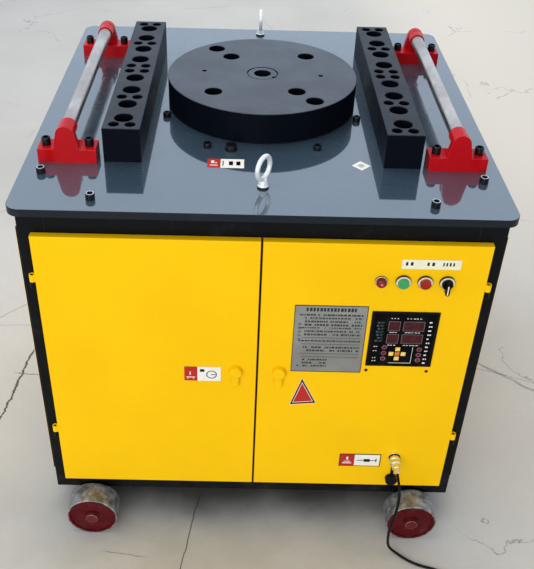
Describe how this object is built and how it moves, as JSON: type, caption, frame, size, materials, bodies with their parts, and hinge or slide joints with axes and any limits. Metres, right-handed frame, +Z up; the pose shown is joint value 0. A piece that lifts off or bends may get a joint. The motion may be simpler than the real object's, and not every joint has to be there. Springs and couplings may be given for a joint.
{
  "type": "rebar bender",
  "caption": "Wheeled steel cabinet with a geared work disc flush over a table plate, pin-hole blocks and support rollers, that bends reinforcing bar around pins.",
  "frame": {"origin": "on the floor under the middle of the table plate", "axes": "+X to the right seen from the front (the side with the doors), +Y to the back, +Z up"},
  "size_m": [0.97, 1.2615, 0.9],
  "materials": {
    "table_paint": "semi-gloss dark grey paint",
    "frame_paint": "semi-gloss black paint",
    "yellow_paint": "semi-gloss yellow paint",
    "blackened_steel": "blackened machined steel",
    "machined_steel": "ground steel",
    "gear_steel": "oiled cut gear steel",
    "bearing_steel": "polished",
    "case_paint": "grey-painted casting",
    "motor_paint": "blue-grey painted casting",
    "red_paint": "gloss red paint",
    "black_screws": "black oxide",
    "zinc": "bright zinc plate",
    "wheel_iron": "maroon-painted casting with a worn tread",
    "black_plastic": "moulded",
    "red_lens": "translucent moulded lens",
    "green_plastic": "moulded",
    "red_plastic": "moulded",
    "panel_plastic": "moulded",
    "etched_aluminium": "etched",
    "brass": "nickel-brass, worn",
    "black_rubber": "matt",
    "box_paint": "light grey paint"
  },
  "bodies": {
    "cabinet": {"table_plate": "table_paint", "frame_posts": "frame_paint", "frame_rails": "frame_paint", "centre_post": "frame_paint", "left_side_panel": "yellow_paint", "right_side_panel": "yellow_paint", "back_panel": "yellow_paint", "bottom_tray": "frame_paint", "frame_hinges": "yellow_paint", "gear_case": "case_paint", "gear_cover": "case_paint", "gearbox_bearings": "bearing_steel", "motor_housing": "motor_paint", "fan_cowl": "motor_paint", "left_hole_block": "blackened_steel", "right_hole_block": "blackened_steel", "block_screws": "black_screws", "left_roller_brackets": "red_paint", "right_roller_brackets": "red_paint", "bracket_screws": "black_screws", "roller_axles": "machined_steel", "lifting_eyes": "zinc", "table_bolts": "black_screws", "oil_plug": "black_screws", "axle_blocks": "frame_paint", "axle_bolts": "red_paint", "electrical_box": "box_paint"},
    "disc": {"work_disc": "blackened_steel", "spindle": "machined_steel", "bull_gear": "gear_steel"},
    "second_shaft": {"second_shaft": "gear_steel", "second_gear": "gear_steel"},
    "first_shaft": {"first_shaft": "gear_steel", "first_gear": "gear_steel"},
    "rotor": {"motor_rotor": "gear_steel", "motor_fan": "black_plastic"},
    "left_roller": {"left_roller": "machined_steel"},
    "right_roller": {"right_roller": "machined_steel"},
    "front_left_wheel": {"front_left_wheel": "wheel_iron"},
    "front_right_wheel": {"front_right_wheel": "wheel_iron"},
    "back_left_wheel": {"back_left_wheel": "wheel_iron"},
    "back_right_wheel": {"back_right_wheel": "wheel_iron"},
    "left_door": {"left_door": "yellow_paint"},
    "right_door": {"right_door": "yellow_paint", "control_bodies": "zinc", "lamp_lens": "red_lens", "controller": "panel_plastic", "instruction_plate": "etched_aluminium", "socket": "brass", "plug": "brass", "dust_cap": "black_rubber", "cord": "black_rubber", "cord_coil": "black_rubber", "foot_switch_base": "yellow_paint"},
    "left_latch": {"left_latch": "yellow_paint"},
    "right_latch": {"right_latch": "yellow_paint"},
    "green_button": {"green_button": "green_plastic"},
    "red_button": {"red_button": "red_plastic"},
    "selector": {"selector_knob": "black_plastic"},
    "foot_pedal": {"foot_pedal": "yellow_paint"}
  },
  "joints": [
    {"name": "disc_turn", "type": "hinge", "parent": "cabinet", "child": "disc", "pos_m": [0, 0.011, 0.859], "axis": [0, 0, 1], "continuous": true},
    {"name": "second_shaft_turn", "type": "hinge", "parent": "cabinet", "child": "second_shaft", "pos_m": [0, 0.2235, 0.708], "axis": [0, 0, 1], "continuous": true},
    {"name": "first_shaft_turn", "type": "hinge", "parent": "cabinet", "child": "first_shaft", "pos_m": [-0.15407, 0.15166, 0.708], "axis": [0, 0, 1], "continuous": true},
    {"name": "rotor_turn", "type": "hinge", "parent": "cabinet", "child": "rotor", "pos_m": [-0.18064, 0.00098, 0.49], "axis": [0, 0, 1], "continuous": true},
    {"name": "left_roller_turn", "type": "hinge", "parent": "cabinet", "child": "left_roller", "pos_m": [-0.368, 0, 0.882], "axis": [0, 1, 0], "continuous": true},
    {"name": "right_roller_turn", "type": "hinge", "parent": "cabinet", "child": "right_roller", "pos_m": [0.368, 0, 0.882], "axis": [0, 1, 0], "continuous": true},
    {"name": "front_left_wheel_roll", "type": "hinge", "parent": "cabinet", "child": "front_left_wheel", "pos_m": [-0.3525, -0.47, 0.055], "axis": [0, 1, 0], "continuous": true},
    {"name": "front_right_wheel_roll", "type": "hinge", "parent": "cabinet", "child": "front_right_wheel", "pos_m": [0.3525, -0.47, 0.055], "axis": [0, 1, 0], "continuous": true},
    {"name": "back_left_wheel_roll", "type": "hinge", "parent": "cabinet", "child": "back_left_wheel", "pos_m": [-0.3525, 0.47, 0.055], "axis": [0, 1, 0], "continuous": true},
    {"name": "back_right_wheel_roll", "type": "hinge", "parent": "cabinet", "child": "back_right_wheel", "pos_m": [0.3525, 0.47, 0.055], "axis": [0, 1, 0], "continuous": true},
    {"name": "left_door_swing", "type": "hinge", "parent": "cabinet", "child": "left_door", "pos_m": [-0.418, -0.445, 0.448], "axis": [0, 0, 1], "range_deg": [-110, 0]},
    {"name": "right_door_swing", "type": "hinge", "parent": "cabinet", "child": "right_door", "pos_m": [0.418, -0.445, 0.448], "axis": [0, 0, 1], "range_deg": [0, 110]},
    {"name": "left_latch_turn", "type": "hinge", "parent": "left_door", "child": "left_latch", "pos_m": [-0.043, -0.455, 0.461], "axis": [0, 1, 0], "range_deg": [0, 90]},
    {"name": "right_latch_turn", "type": "hinge", "parent": "right_door", "child": "right_latch", "pos_m": [0.043, -0.455, 0.461], "axis": [0, 1, 0], "range_deg": [-90, 0]},
    {"name": "green_button_press", "type": "slide", "parent": "right_door", "child": "green_button", "axis": [0, 1, 0], "range_m": [0, 0.004], "stiffness_N_per_m": 500, "springref_m": -0.002},
    {"name": "red_button_press", "type": "slide", "parent": "right_door", "child": "red_button", "axis": [0, 1, 0], "range_m": [0, 0.004], "stiffness_N_per_m": 500, "springref_m": -0.002},
    {"name": "selector_turn", "type": "hinge", "parent": "right_door", "child": "selector", "pos_m": [0.339, -0.456, 0.6895], "axis": [0, 1, 0], "range_deg": [0, 90]},
    {"name": "foot_pedal_press", "type": "hinge", "parent": "right_door", "child": "foot_pedal", "pos_m": [0.352, -0.684, 0.035], "axis": [1, 0, 0], "range_deg": [0, 6], "stiffness_Nm_per_rad": 2, "springref_deg": -5.73}
  ],
  "couplings": [
    {"joint": "second_shaft_turn", "follows": "disc_turn", "ratio": -4},
    {"joint": "first_shaft_turn", "follows": "disc_turn", "ratio": 16},
    {"joint": "rotor_turn", "follows": "disc_turn", "ratio": -80}
  ]
}
